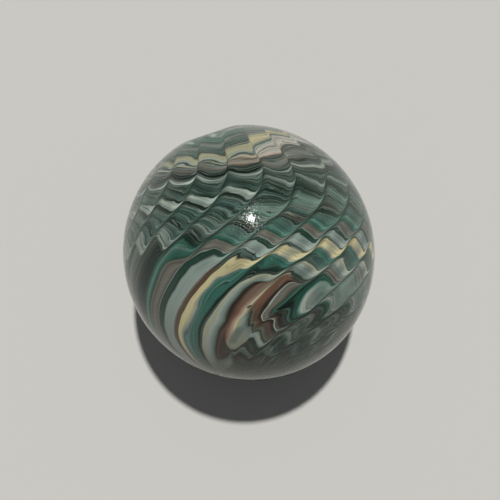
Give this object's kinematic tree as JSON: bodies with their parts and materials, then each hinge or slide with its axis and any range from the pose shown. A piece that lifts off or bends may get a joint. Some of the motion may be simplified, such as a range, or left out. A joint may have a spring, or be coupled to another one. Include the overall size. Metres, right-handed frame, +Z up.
{
  "type": "glass marble",
  "caption": "Solid opaque glass ball with a combed swirl pattern and one small ground flat at its pontil, for a hand, tray or stand.",
  "frame": {"origin": "centre of the ball, which is also the centre of its box", "axes": "+Z up with the ball lying on its side, -Z through the point it rests on; the pontil flat faces the back, raised 23.5 degrees above level and turned 20 degrees from +Y towards -X"},
  "size_m": [0.032, 0.0326, 0.0322],
  "materials": {
    "swirled_glass": "polished opaque glass, combed bands of green, teal, cream and brown"
  },
  "bodies": {
    "root": {"marble": "swirled_glass"}
  },
  "joints": []
}
